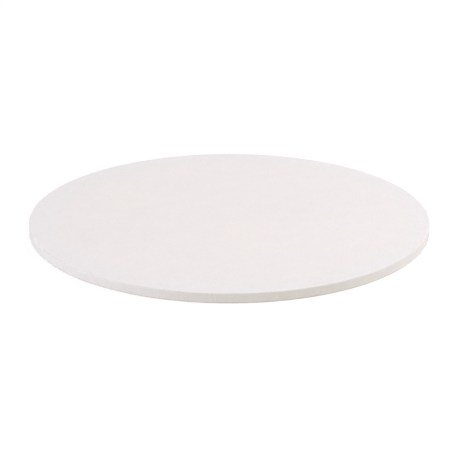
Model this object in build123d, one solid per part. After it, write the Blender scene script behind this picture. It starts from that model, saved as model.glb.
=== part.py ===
from build123d import *
import os

# A round pizza stone: one flat slab of unglazed ceramic, pressed and fired in one piece.
# Dough bakes on its upper face, its lower face lies on an oven rack or a grill, and the
# two outer edges are eased to a small radius, so that they don't chip or catch a peel.
# Millimetres, +Z up. The origin is the centre of the lower face.

# The slab
stone_diameter = 380.0
stone_thickness = 10.0

# The eased edges
upper_edge_radius = 1.0
lower_edge_radius = 1.5


def slab_section():
    """Half of the slab's upright section, from its axis out to the rim."""
    rim_x = stone_diameter / 2
    lower_flat_end = rim_x - lower_edge_radius
    upper_flat_end = rim_x - upper_edge_radius
    rim_foot_z = lower_edge_radius
    rim_head_z = stone_thickness - upper_edge_radius
    with BuildSketch(Plane.XZ) as section:
        with BuildLine():
            Line((0, 0), (lower_flat_end, 0))
            CenterArc((lower_flat_end, rim_foot_z), lower_edge_radius, start_angle=270, arc_size=90)
            Line((rim_x, rim_foot_z), (rim_x, rim_head_z))
            CenterArc((upper_flat_end, rim_head_z), upper_edge_radius, start_angle=0, arc_size=90)
            Line((upper_flat_end, stone_thickness), (0, stone_thickness))
            Line((0, stone_thickness), (0, 0))
        make_face()
    return section.sketch


def stone_slab():
    """The whole stone: its section turned once round the upright axis."""
    return revolve(slab_section(), axis=Axis.Z)


os.makedirs("parts", exist_ok=True)
export_step(stone_slab(), "parts/stone_slab.step")
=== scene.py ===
# A round pizza stone of unglazed fired ceramic, lying on a white studio floor.
import bpy
import math
import numpy as np
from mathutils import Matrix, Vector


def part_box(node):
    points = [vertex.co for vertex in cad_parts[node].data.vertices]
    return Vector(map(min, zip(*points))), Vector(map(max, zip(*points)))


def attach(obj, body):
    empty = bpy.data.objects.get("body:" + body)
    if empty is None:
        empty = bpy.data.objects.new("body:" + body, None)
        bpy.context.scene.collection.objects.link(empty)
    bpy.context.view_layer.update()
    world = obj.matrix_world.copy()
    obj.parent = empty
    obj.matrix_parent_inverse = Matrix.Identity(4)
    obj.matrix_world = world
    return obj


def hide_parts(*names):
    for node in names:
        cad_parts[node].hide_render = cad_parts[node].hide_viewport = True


print("stage 1: load the packed stone")
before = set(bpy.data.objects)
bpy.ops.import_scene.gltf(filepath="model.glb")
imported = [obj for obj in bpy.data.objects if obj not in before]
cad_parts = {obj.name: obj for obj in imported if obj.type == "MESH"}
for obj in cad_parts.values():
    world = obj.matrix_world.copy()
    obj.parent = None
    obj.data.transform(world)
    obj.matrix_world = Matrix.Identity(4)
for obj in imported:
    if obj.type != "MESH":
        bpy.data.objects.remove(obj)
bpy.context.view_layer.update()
slabLow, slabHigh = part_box("stone_slab")
stoneRadius = max(slabHigh.x, slabHigh.y)
stoneThickness = slabHigh.z - slabLow.z
scene = bpy.context.scene
scene.view_settings.view_transform = "Standard"


def putInScene(name, data):
    # A new object. A piece has its place in its mesh, so it stays at the origin, unturned and unscaled.
    made = bpy.data.objects.new(name, data)
    scene.collection.objects.link(made)
    return made


print("stage 2: camera")
photoView = {
    "pictureSide": 457,                     # pixels
    "faceCentrePixel": (229.22, 216.92),    # where the middle of the baking face shows
    "radiusPixels": 199.62,                 # how wide the stone's radius shows there
    "elevation": 20.27,                     # degrees above the floor
    "radiiAway": 10.0,                      # a long lens: near and far rim look almost equally large
}


def addCamera(view):
    # Stands radiiAway from the baking face's middle, then turns until that point is on its pixel.
    distance = view["radiiAway"] * stoneRadius
    tilt = math.radians(view["elevation"])
    focalPixels = view["radiusPixels"] * view["radiiAway"]
    pictureMiddle = view["pictureSide"] / 2
    rightward, downward = [(pixel - pictureMiddle) / focalPixels for pixel in view["faceCentrePixel"]]
    lens = bpy.data.cameras.new("photoCamera")
    lens.lens = lens.sensor_width * focalPixels / view["pictureSide"]
    camera = putInScene("photoCamera", lens)
    camera.location = (0, -distance * math.cos(tilt), stoneThickness + distance * math.sin(tilt))
    turnUp, turnLeft = math.atan(downward), math.atan(rightward / math.cos(tilt))
    camera.rotation_euler = (math.pi / 2 - tilt + turnUp, 0, turnLeft)
    scene.camera = camera


addCamera(photoView)


# Helpers for materials
def newMaterial(name):
    # A material whose node tree is still empty.
    material = bpy.data.materials.new(name)
    material.use_nodes = True
    material.node_tree.nodes.clear()
    return material


def addNode(tree, kind, inputs=None, **settings):
    # Makes a node, sets its options, then fills each input with a value or links it to a socket.
    node = tree.nodes.new(kind)
    for option, value in settings.items():
        setattr(node, option, value)
    for name, value in (inputs or {}).items():
        if isinstance(value, bpy.types.NodeSocket):
            tree.links.new(value, node.inputs[name])
        else:
            node.inputs[name].default_value = value
    return node


def addMath(tree, operation, first, second):
    # The operation done on two values.
    return addNode(tree, "ShaderNodeMath", {0: first, 1: second}, operation=operation).outputs[0]


def addBlend(tree, share, first, second, mode="MIX"):
    # Sockets 0, 6 and 7 of a Mix node are the share and the two colours, and output 2 is the colour.
    inputs = {0: share, 6: first, 7: second}
    return addNode(tree, "ShaderNodeMix", inputs, data_type="RGBA", blend_type=mode).outputs[2]


def addRange(tree, value, fromLow, fromHigh, toLow=0.0, toHigh=1.0, smooth=False):
    # Carries value from one range to another and stops at its ends.
    limits = {"Value": value, "From Min": fromLow, "From Max": fromHigh, "To Min": toLow, "To Max": toHigh}
    curve = "SMOOTHSTEP" if smooth else "LINEAR"
    return addNode(tree, "ShaderNodeMapRange", limits, interpolation_type=curve).outputs["Result"]


def addNoise(tree, place, size, detail=2.0):
    # Soft noise whose features are about size metres wide.
    settings = {"Vector": place, "Scale": 1 / size, "Detail": detail}
    return addNode(tree, "ShaderNodeTexNoise", settings).outputs["Fac"]


def addSwitch(tree, lighting, shown):
    # Rays from the camera, a mirror or glass meet the shader shown, and the rays that light the stone meet
    # the other one.
    path = addNode(tree, "ShaderNodeLightPath").outputs
    cameraOrGloss = addMath(tree, "ADD", path["Is Camera Ray"], path["Is Glossy Ray"])
    anyOfThem = addMath(tree, "ADD", cameraOrGloss, path["Is Transmission Ray"])
    seenDirectly = addMath(tree, "MINIMUM", anyOfThem, 1.0)
    shaders = {0: seenDirectly, 1: lighting.outputs[0], 2: shown.outputs[0]}
    return addNode(tree, "ShaderNodeMixShader", shaders).outputs[0]


print("stage 3: studio")
plainWhite = (1, 1, 1, 1)
studio = {
    "floorSide": 14.0,                      # metres
    "floorBounce": (0.59, 0.55, 0.38, 1),   # what the floor throws back on the rim
    "floorGlow": 0.89,                      # how much of its white is its own
    "floorShade": 0.14,                     # how much of it takes the stone's shadow
    "shadeReach": (0.35, 0.90),             # metres from the middle over which it turns plain white
    "skyFill": 0.15,                        # light from all round
}
# Lamps stand round the stone: bearing 0 is the camera's side, and 90 is its right.
# Angles are in degrees, distances and sizes in metres, and powers in watts.
lamps = {
    "ceilingPanel": {"bearing": 0, "elevation": 65, "distance": 2.6, "width": 2.2, "height": 2.2,
                     "power": 18.3, "colour": (1.0, 0.941, 0.812)},
    "rightSoftbox": {"bearing": 75, "elevation": 45, "distance": 1.5, "width": 0.8, "height": 0.8,
                     "power": 7.95, "colour": (0.996, 0.982, 1.0)},
    "leftPanel": {"bearing": -60, "elevation": 14, "distance": 2.0, "width": 1.0, "height": 0.9,
                  "power": 28.4, "colour": (0.852, 0.883, 1.0)},
    "frontPanel": {"bearing": 0, "elevation": 14, "distance": 2.0, "width": 1.0, "height": 0.9,
                   "power": 2.75, "colour": (1.0, 0.978, 0.917)},
    "rightPanel": {"bearing": 80, "elevation": 14, "distance": 2.0, "width": 1.0, "height": 0.9,
                   "power": 19.6, "colour": (0.846, 0.887, 1.0)},
    "backPanel": {"bearing": 180, "elevation": 14, "distance": 2.0, "width": 1.0, "height": 0.9,
                  "power": 24.9, "colour": (0.990, 1.0, 0.940)},
}


def addLamp(name, lamp):
    # Stands on a sphere round the stone and faces its middle.
    bearing, elevation = math.radians(lamp["bearing"]), math.radians(lamp["elevation"])
    light = bpy.data.lights.new(name, "AREA")
    light.shape = "RECTANGLE"
    light.size, light.size_y = lamp["width"], lamp["height"]
    light.energy = lamp["power"]
    light.color = lamp["colour"]
    panel = putInScene(name, light)
    away, up = lamp["distance"] * math.cos(elevation), lamp["distance"] * math.sin(elevation)
    panel.location = (away * math.sin(bearing), -away * math.cos(bearing), up)
    panel.rotation_euler = (math.pi / 2 - elevation, 0, bearing)


def addSky():
    # White to look at, and a plain fill for the stone.
    world = bpy.data.worlds.new("whiteRoom")
    world.use_nodes = True
    scene.world = world
    tree = world.node_tree
    tree.nodes.clear()
    fill = addNode(tree, "ShaderNodeBackground", {"Color": plainWhite, "Strength": studio["skyFill"]})
    white = addNode(tree, "ShaderNodeBackground", {"Color": plainWhite, "Strength": 1.0})
    addNode(tree, "ShaderNodeOutputWorld", {"Surface": addSwitch(tree, fill, white)})


def addFloor():
    # A level sheet of paper. It glows white to look at, and near the stone a part of its white comes from
    # the lamps instead, so that it keeps the shadow.
    half = studio["floorSide"] / 2
    corners = [(-half, -half, 0), (half, -half, 0), (half, half, 0), (-half, half, 0)]
    sheet = bpy.data.meshes.new("studioFloor")
    sheet.from_pydata(corners, [], [(0, 1, 2, 3)])
    floor = putInScene("studioFloor", sheet)
    paper = newMaterial("whitePaper")
    tree = paper.node_tree
    place = addNode(tree, "ShaderNodeTexCoord").outputs["Object"]
    away = addNode(tree, "ShaderNodeVectorMath", {0: place}, operation="LENGTH").outputs["Value"]
    shade = addRange(tree, away, *studio["shadeReach"], studio["floorShade"], 0.0, smooth=True)
    strength = addRange(tree, away, *studio["shadeReach"], studio["floorGlow"], 1.0, smooth=True)
    shaded = addNode(tree, "ShaderNodeBsdfDiffuse", {"Color": shade})
    glow = addNode(tree, "ShaderNodeEmission", {"Color": plainWhite, "Strength": strength})
    seen = addNode(tree, "ShaderNodeAddShader", {0: shaded.outputs[0], 1: glow.outputs[0]})
    bounce = addNode(tree, "ShaderNodeBsdfDiffuse", {"Color": studio["floorBounce"]})
    addNode(tree, "ShaderNodeOutputMaterial", {"Surface": addSwitch(tree, bounce, seen)})
    sheet.materials.append(paper)


for lampName, lampValues in lamps.items():
    addLamp(lampName, lampValues)
addSky()
addFloor()


print("stage 4: the stone's mesh")
stoneShape = {
    "cellsAcross": 160,                     # grid cells across a flat face: the rim has four times as many
    "upperEdge": {"radius": 0.0010, "wander": 0.00015, "seed": 3},   # metres, and how far the radius strays
    "lowerEdge": {"radius": 0.0015, "wander": 0.00020, "seed": 4},
    "edgeWaves": (2, 3, 5, 8, 13, 21, 34, 55, 89),   # how many times each ripple of it goes round
    "edgeFacets": 8,                        # rows of faces round each eased edge
    "wallFacets": 5,                        # rows of faces down the upright wall
    "trim": 0.0003,                         # width of a narrow row beside each eased edge
    "relief": 0.00012,                      # depth of the soft unevenness left by the press and the kiln
    "reliefWaves": 16,                      # how many waves it is made of
    "reliefLengths": (0.016, 0.17),         # the shortest and the longest of them
    "reliefSeed": 7,
}
# Where the parts of the stone lie on its own flat map, in shares of the map's side
stoneMap = {
    "discRadius": 0.285,
    "topCentre": (0.294, 0.294),
    "undersideCentre": (0.706, 0.706),
    "stripCorner": (0.606, 0.040),          # the rim's strips start here
    "stripSize": (0.362, 0.020),
    "stripStep": 0.034,
    "stripCount": 5,
}


def discGrid(cells):
    # A square grid from -1 to 1 pushed out to a disc: each square ring of it becomes a circle of the same
    # half width, and the place along a side becomes the angle, so the rim's points are evenly spaced.
    across = np.linspace(-1, 1, cells + 1)
    a, b = np.meshgrid(across, across, indexing="ij")
    sideways = np.abs(a) >= np.abs(b)
    reach = np.where(sideways, a, b)
    safeReach = np.where(reach == 0, 1, reach)
    angle = np.where(sideways, np.pi / 4 * b / safeReach, np.pi / 2 - np.pi / 4 * a / safeReach)
    return reach * np.cos(angle), reach * np.sin(angle)


def outerLoop(grid):
    # The numbers round the outside of a square grid, anticlockwise from the angle of -45 degrees.
    return np.concatenate([grid[-1, :-1], grid[:0:-1, -1], grid[0, :0:-1], grid[:-1, 0]])


def easedRadius(edge, waves, angle):
    # The edge's radius plus ripples: the mean of one sine of the angle for each wave count, scaled so that
    # the largest is wander.
    phase = np.random.default_rng(edge["seed"]).uniform(0, 2 * np.pi, len(waves))
    ripples = np.sin(np.multiply.outer(angle, waves) + phase).mean(axis=-1)
    return edge["radius"] + edge["wander"] * ripples / np.abs(ripples).max()


def rimRows(shape, angle):
    # The stone's profile carried round the circle, one row of points for each step down: a quarter circle
    # out and down from the top, the upright wall, and a quarter circle in to the underside.
    # Gives each point's distance from the axis, its height, and its normal's outward and upward parts.
    upper = easedRadius(shape["upperEdge"], shape["edgeWaves"], angle)
    lower = easedRadius(shape["lowerEdge"], shape["edgeWaves"], angle)
    turn = np.linspace(0, np.pi / 2, shape["edgeFacets"] + 1)[:, None]
    down = np.linspace(0, 1, shape["wallFacets"] + 1)[:, None]
    wallTop = stoneThickness - upper - shape["trim"]
    wallFoot = lower + shape["trim"]
    even = np.ones_like(angle)
    outward = [stoneRadius - upper * (1 - np.sin(turn)),
               stoneRadius * even * np.ones_like(down),
               stoneRadius - lower * (1 - np.cos(turn))]
    height = [stoneThickness - upper * (1 - np.cos(turn)),
              wallTop + (wallFoot - wallTop) * down,
              lower * (1 - np.sin(turn))]
    normalOut = [np.sin(turn) * even, np.ones_like(down) * even, np.cos(turn) * even]
    normalUp = [np.cos(turn) * even, np.zeros_like(down) * even, -np.sin(turn) * even]
    return [np.vstack(rows) for rows in (outward, height, normalOut, normalUp)]


def roundTheAxis(outward, angle, height):
    # Distances from the axis, angles and heights become x, y and z, one row for each point.
    return np.stack([outward * np.cos(angle), outward * np.sin(angle), height], axis=-1).reshape(-1, 3)


def softRelief(shape, points):
    # A sum of sine waves, each with its own length, direction and phase, and as tall as the root of its
    # length. The sum is scaled to 0..relief.
    draw = np.random.default_rng(shape["reliefSeed"])
    lengths = np.geomspace(*shape["reliefLengths"], shape["reliefWaves"])
    headings = draw.normal(size=(3, len(lengths)))
    headings /= np.linalg.norm(headings, axis=0)
    phase = draw.uniform(0, 2 * np.pi, len(lengths))
    total = (np.sin(2 * np.pi * (points @ headings) / lengths + phase) * np.sqrt(lengths)).sum(axis=1)
    return shape["relief"] * (total - total.min()) / np.ptp(total)


def gridQuads(grid):
    # The four point numbers of every cell of a grid, anticlockwise, one row for each cell.
    corners = (grid[:-1, :-1], grid[1:, :-1], grid[1:, 1:], grid[:-1, 1:])
    return np.stack([corner.ravel() for corner in corners], axis=1)


def rimMap(layout, lineOut, lineUp, columns):
    # The rim cut into strips, one above another: the angle goes along a strip, and the length of the
    # profile goes down it. lineOut and lineUp are the profile's distances from the axis and its heights.
    fall = np.concatenate([[0], np.cumsum(np.hypot(np.diff(lineOut), np.diff(lineUp)))])
    perStrip = columns // layout["stripCount"]
    strip, place = np.divmod(np.arange(columns), perStrip)
    along = np.stack([place, place, place + 1, place + 1], axis=-1) / perStrip
    rows = np.arange(len(fall) - 1)
    depth = fall[np.stack([rows, rows + 1, rows + 1, rows], axis=-1)] / fall[-1]
    stripU = layout["stripCorner"][0] + layout["stripSize"][0] * along[None, :, :]
    stripV = (layout["stripCorner"][1] + layout["stripStep"] * strip[None, :, None]
              + layout["stripSize"][1] * (1 - depth[:, None, :]))
    return np.stack(np.broadcast_arrays(stripU, stripV), axis=-1).reshape(-1, 4, 2)


def easedShare(part):
    # p (1 - p^2) over its peak, which is at p = sqrt(1/3), where p is how far a normal points to the flat
    # face beside an eased edge: 0 on the wall and on that face, up to 1 between them.
    toward = np.clip(part, 0, 1)
    peak = 2 / 3 / math.sqrt(3)
    return toward * (1 - toward ** 2) / peak


def stoneMesh(shape, layout):
    # A disc at the top and one at the bottom, joined by the rim's rows. Each point then sinks along its
    # normal by the relief, which leaves all of them inside the solid.
    topRadius, undersideRadius = [
        stoneRadius - shape[edge]["radius"] - shape[edge]["wander"] - shape["trim"]
        for edge in ("upperEdge", "lowerEdge")]
    faceX, faceY = discGrid(shape["cellsAcross"])
    columns = 4 * shape["cellsAcross"]
    startAngle = -np.pi / 4                 # as outerLoop starts
    angle = startAngle + 2 * np.pi * np.arange(columns) / columns
    outward, height, normalOut, normalUp = rimRows(shape, angle)

    # Points and normals, in the order top face, rim, underside
    ones, zeros = np.ones(faceX.size), np.zeros(faceX.size)
    disc = np.stack([faceX.ravel(), faceY.ravel(), zeros], axis=1)
    up = np.stack([zeros, zeros, ones], axis=1)
    rim = roundTheAxis(outward, angle, height)
    points = np.concatenate([disc * topRadius + stoneThickness * up, rim, disc * undersideRadius])
    normals = np.concatenate([up, roundTheAxis(normalOut, angle, normalUp), -up])
    points = points - normals * softRelief(shape, points)[:, None]

    # Faces
    topGrid = np.arange(faceX.size).reshape(faceX.shape)
    rimGrid = faceX.size + np.arange(outward.size).reshape(outward.shape)
    undersideGrid = topGrid + faceX.size + outward.size
    belt = np.vstack([outerLoop(topGrid), rimGrid, outerLoop(undersideGrid)])
    belt = np.hstack([belt, belt[:, :1]])
    topQuads = gridQuads(topGrid)
    faces = np.concatenate([topQuads, gridQuads(belt), gridQuads(undersideGrid)[:, ::-1]])

    # The flat map: two discs, the lower one mirrored because it faces down, and the rim's strips
    discMap = disc[:, :2] * layout["discRadius"]
    topMap = (discMap + layout["topCentre"])[topQuads]
    undersideMap = (discMap * (-1, 1) + layout["undersideCentre"])[topQuads[:, ::-1]]
    lineOut = np.concatenate([[topRadius], outward[:, 0], [undersideRadius]])
    lineUp = np.concatenate([[stoneThickness], height[:, 0], [0]])
    flatMap = np.concatenate([topMap, rimMap(layout, lineOut, lineUp, columns), undersideMap])

    mesh = bpy.data.meshes.new("pizzaStone")
    mesh.from_pydata(points.tolist(), [], faces.tolist())
    mesh.uv_layers.new(name="OFBake").data.foreach_set("uv", flatMap.ravel())
    masks = {
        "rimShare": 1 - normals[:, 2] ** 2,                 # 1 on the upright wall, 0 on the flat faces
        "undersideShare": np.clip(-normals[:, 2], 0, 1),
        "browShadeShare": easedShare(normals[:, 2]),             # the upper eased edge, which takes painted shade
        "footShadeShare": easedShare(-normals[:, 2]),            # the lower one, which takes painted shade
        "edgeNearness": np.hypot(points[:, 0], points[:, 1]) / stoneRadius,
    }
    for name, values in masks.items():
        mesh.attributes.new(name, "FLOAT", "POINT").data.foreach_set("value", values)
    mesh.shade_smooth()
    return mesh


print("stage 5: the stone's material")
stoneLook = {
    "bodyPink": (0.8717, 0.8184, 0.8227, 1),    # the fired body drifts between these two
    "bodyCream": (0.8731, 0.8251, 0.8161, 1),
    "driftSize": 0.120,                     # metres, as all sizes here
    "driftSpan": (0.35, 0.65),              # values of the noise between which it drifts
    "bodyBorder": (0.8532, 0.8234, 0.8272, 1),  # and it turns to this greyer one towards the rim,
    "borderStart": 0.75,                    # from this share of the radius on
    "mottleSize": 0.014,
    "mottleSpan": (0.3, 0.7),               # values of the noise between which tone and roughness change
    "mottleDepth": 0.009,                   # share of the colour, as all depths of tone here
    "grainSize": 0.0006,
    "grainDepth": 0.042,
    "grogShare": 0.05,                      # how many grains are darker, crushed and fired before
    "grogTint": (0.940, 0.918, 0.892, 1),
    "speckSpacing": 0.0060,
    "speckRadius": 0.00038,
    "speckTint": (0.80, 0.73, 0.66, 1),
    "poreSpacing": 0.0024,
    "poreRadius": 0.00024,
    # painted shade in the pinholes: their colour is darkened by this tint
    "poreShadeTint": (0.84, 0.80, 0.77, 1),
    "poreDepth": 0.00012,                   # metres, as the two heights below
    "sandHeight": 0.00005,
    "rollHeight": 0.00005,
    "rollSize": 0.0045,
    # painted shade that keeps the upright wall darker than the face, with a faint warm tint that is the
    # body's own
    "rimShadeAndTint": (0.931, 0.927, 0.926, 1),
    "undersideTint": (0.975, 0.960, 0.935, 1),
    "browPaintedShade": (0.978, 0.970, 0.960, 1),   # painted shade that dims the lamps' highlight on the upper eased edge
    "footPaintedShade": (0.925, 0.935, 0.950, 1),   # painted shade that darkens the lower eased edge where it meets the floor
    "roughness": (0.86, 0.98),
    "chalkiness": 0.30,                     # how much light the dry surface throws back the way it came
    "sheen": 0.03,                          # level of the faint mirror reflection
}


def addDots(tree, place, spacing, radius):
    # Round dots strewn through the body: 1 up to half the radius from a Voronoi point, 0 past the radius.
    cells = addNode(tree, "ShaderNodeTexVoronoi", {"Vector": place, "Scale": 1 / spacing})
    edge = radius / spacing                 # the node measures in cells
    return addRange(tree, cells.outputs["Distance"], edge, edge / 2, smooth=True)


def stoneMaterial(look):
    # Pale fired body with a slow drift of tone, mottling, grains of different tint, specks and pinholes,
    # and painted shade in the pinholes, on the upright wall and on both eased edges.
    material = newMaterial("firedCordierite")
    tree = material.node_tree
    place = addNode(tree, "ShaderNodeTexCoord").outputs["Object"]
    masks = {name: addNode(tree, "ShaderNodeAttribute", attribute_name=name).outputs["Fac"]
             for name in ("rimShare", "undersideShare", "browShadeShare", "footShadeShare", "edgeNearness")}

    # Colour
    drift = addRange(tree, addNoise(tree, place, look["driftSize"]), *look["driftSpan"])
    colour = addBlend(tree, drift, look["bodyPink"], look["bodyCream"])
    border = addRange(tree, masks["edgeNearness"], look["borderStart"], 1.0, smooth=True)
    colour = addBlend(tree, border, colour, look["bodyBorder"])
    mottle = addNoise(tree, place, look["mottleSize"], detail=4.0)
    mottleLimits = (1 - look["mottleDepth"], 1 + look["mottleDepth"])
    mottleTone = addRange(tree, mottle, *look["mottleSpan"], *mottleLimits)
    colour = addBlend(tree, 1.0, colour, mottleTone, "MULTIPLY")
    grains = addNode(tree, "ShaderNodeTexVoronoi", {"Vector": place, "Scale": 1 / look["grainSize"]})
    grainColour = grains.outputs["Color"]   # one random colour for each grain
    grainLimits = (1 - look["grainDepth"], 1 + look["grainDepth"])
    grainTone = addRange(tree, grainColour, 0, 1, *grainLimits)
    colour = addBlend(tree, 1.0, colour, grainTone, "MULTIPLY")
    grainNumber = addNode(tree, "ShaderNodeSeparateColor", {"Color": grainColour}).outputs["Red"]
    grog = addMath(tree, "GREATER_THAN", grainNumber, 1 - look["grogShare"])
    specks = addDots(tree, place, look["speckSpacing"], look["speckRadius"])
    pores = addDots(tree, place, look["poreSpacing"], look["poreRadius"])
    # Tints multiplied in by their masks. The grog and specks are the body's own colour. The pinholes, the
    # two eased edges and most of the wall's darker tone are painted shade.
    for share, tint in ((grog, "grogTint"), (specks, "speckTint"), (pores, "poreShadeTint"),
                        (masks["rimShare"], "rimShadeAndTint"), (masks["browShadeShare"], "browPaintedShade"),
                        (masks["footShadeShare"], "footPaintedShade"), (masks["undersideShare"], "undersideTint")):
        colour = addBlend(tree, share, colour, look[tint], "MULTIPLY")

    # Height in metres: sandy grain on a softer roll, with the pinholes sunk in
    sandNoise = addNoise(tree, place, look["grainSize"], detail=3.0)
    sand = addMath(tree, "MULTIPLY", sandNoise, look["sandHeight"])
    rollNoise = addNoise(tree, place, look["rollSize"])
    roll = addMath(tree, "MULTIPLY", rollNoise, look["rollHeight"])
    sunk = addMath(tree, "MULTIPLY", pores, -look["poreDepth"])
    height = addMath(tree, "ADD", addMath(tree, "ADD", sand, roll), sunk)
    bump = addNode(tree, "ShaderNodeBump", {"Height": height, "Distance": 1.0})

    roughness = addRange(tree, mottle, *look["mottleSpan"], *look["roughness"])
    surface = addNode(tree, "ShaderNodeBsdfPrincipled", {
        "Base Color": colour, "Roughness": roughness, "Normal": bump.outputs["Normal"],
        "Specular IOR Level": look["sheen"], "Diffuse Roughness": look["chalkiness"]})
    addNode(tree, "ShaderNodeOutputMaterial", {"Surface": surface.outputs["BSDF"]})
    return material


pizzaStone = putInScene("pizza_stone", stoneMesh(stoneShape, stoneMap))
pizzaStone.data.materials.append(stoneMaterial(stoneLook))
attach(pizzaStone, "root")
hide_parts("stone_slab")
